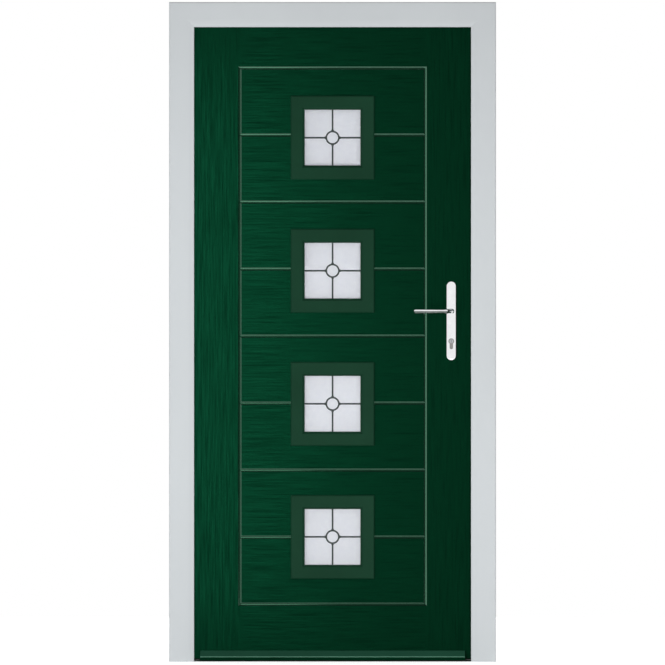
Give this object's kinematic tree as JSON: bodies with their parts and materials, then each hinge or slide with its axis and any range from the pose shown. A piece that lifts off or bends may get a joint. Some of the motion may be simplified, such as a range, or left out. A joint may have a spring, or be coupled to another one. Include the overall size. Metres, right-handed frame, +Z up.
{
  "type": "front door",
  "caption": "Composite front door with square leaded lights, moulded planks, a weather bar and lever handles, hinged in a white plastic frame with a multi-point lock.",
  "frame": {"origin": "foot of the frame, halfway along its width and its depth", "axes": "+X along the width towards the lock, +Y from outside to inside, +Z up"},
  "size_m": [1, 0.1572, 2.018],
  "materials": {
    "frame_plastic": "smooth white, low gloss",
    "threshold_metal": "mill",
    "seal_rubber": "matt",
    "zinc_steel": "zinc plated",
    "bright_chrome": "polished",
    "green_skin": "satin, moulded wood grain",
    "core_foam": "rigid foam",
    "pale_timber": "sawn",
    "frosted_glass": "obscured",
    "lead": "dull"
  },
  "bodies": {
    "frame": {"hinge_jamb": "frame_plastic", "lock_jamb": "frame_plastic", "frame_head": "frame_plastic", "threshold": "threshold_metal", "frame_seal": "seal_rubber", "lower_keep_plate": "zinc_steel", "middle_keep_plate": "zinc_steel", "upper_keep_plate": "zinc_steel", "hinge_frame_leaf_1": "zinc_steel", "hinge_frame_leaf_2": "zinc_steel", "hinge_frame_leaf_3": "zinc_steel", "hinge_pins": "bright_chrome", "frame_screws": "bright_chrome"},
    "door": {"outer_skin": "green_skin", "inner_skin": "green_skin", "foam_core": "core_foam", "hinge_stile": "pale_timber", "lock_stile": "pale_timber", "top_rail": "pale_timber", "bottom_rail": "pale_timber", "weather_bar": "green_skin", "bottom_seal": "seal_rubber", "outer_cassette_1": "green_skin", "outer_cassette_2": "green_skin", "outer_cassette_3": "green_skin", "outer_cassette_4": "green_skin", "inner_cassette_1": "green_skin", "inner_cassette_2": "green_skin", "inner_cassette_3": "green_skin", "inner_cassette_4": "green_skin", "glass_unit_1": "frosted_glass", "glass_unit_2": "frosted_glass", "glass_unit_3": "frosted_glass", "glass_unit_4": "frosted_glass", "lead_strip_1": "lead", "lead_strip_2": "lead", "lead_strip_3": "lead", "lead_strip_4": "lead", "cassette_screws": "bright_chrome", "hinge_door_leaf_1": "zinc_steel", "hinge_door_leaf_2": "zinc_steel", "hinge_door_leaf_3": "zinc_steel", "door_screws": "bright_chrome", "lock_faceplate": "zinc_steel", "lock_case": "zinc_steel", "upper_hook_box": "zinc_steel", "lower_hook_box": "zinc_steel", "outside_handle_plate": "bright_chrome", "inside_handle_plate": "bright_chrome", "handle_bolts": "bright_chrome", "cylinder_body": "bright_chrome"},
    "handle": {"outside_lever": "bright_chrome", "inside_lever": "bright_chrome", "spindle": "zinc_steel"},
    "latch": {"latch_bolt": "bright_chrome"},
    "bolt": {"dead_bolt": "bright_chrome"},
    "rail": {"drive_rail": "zinc_steel"},
    "hook_above": {"upper_hook": "bright_chrome"},
    "hook_below": {"lower_hook": "bright_chrome"},
    "key": {"key_plug": "zinc_steel"},
    "turn": {"thumb_turn": "bright_chrome", "cylinder_cam": "zinc_steel"}
  },
  "joints": [
    {"name": "door_swing", "type": "hinge", "parent": "frame", "child": "door", "pos_m": [-0.4375, 0.044, 0.981], "axis": [0, 0, 1], "range_deg": [0, 100]},
    {"name": "handle_turn", "type": "hinge", "parent": "door", "child": "handle", "pos_m": [0.3635, 0.013, 1.0725], "axis": [0, 1, 0], "range_deg": [-40, 40], "stiffness_Nm_per_rad": 3, "springref_deg": 3.44},
    {"name": "latch_slide", "type": "slide", "parent": "door", "child": "latch", "axis": [1, 0, 0], "range_m": [0, 0.011]},
    {"name": "thumb_turn_spin", "type": "hinge", "parent": "door", "child": "turn", "pos_m": [0.3635, 0.013, 0.9805], "axis": [0, 1, 0], "range_deg": [0, 360]},
    {"name": "dead_bolt_slide", "type": "slide", "parent": "door", "child": "bolt", "axis": [1, 0, 0], "range_m": [0, 0.02]},
    {"name": "key_spin", "type": "hinge", "parent": "door", "child": "key", "pos_m": [0.3635, 0.013, 0.9805], "axis": [0, 1, 0], "range_deg": [0, 360]},
    {"name": "rail_slide", "type": "slide", "parent": "door", "child": "rail", "axis": [0, 0, 1], "range_m": [0, 0.02]},
    {"name": "upper_hook_swing", "type": "hinge", "parent": "door", "child": "hook_above", "pos_m": [0.414, 0.013, 1.48], "axis": [0, 1, 0], "range_deg": [0, 90]},
    {"name": "lower_hook_swing", "type": "hinge", "parent": "door", "child": "hook_below", "pos_m": [0.414, 0.013, 0.56], "axis": [0, 1, 0], "range_deg": [0, 90]}
  ],
  "couplings": [
    {"joint": "thumb_turn_spin", "follows": "dead_bolt_slide", "rad_per_m": 314.16},
    {"joint": "upper_hook_swing", "follows": "rail_slide", "rad_per_m": 78.54},
    {"joint": "lower_hook_swing", "follows": "rail_slide", "rad_per_m": 78.54}
  ]
}
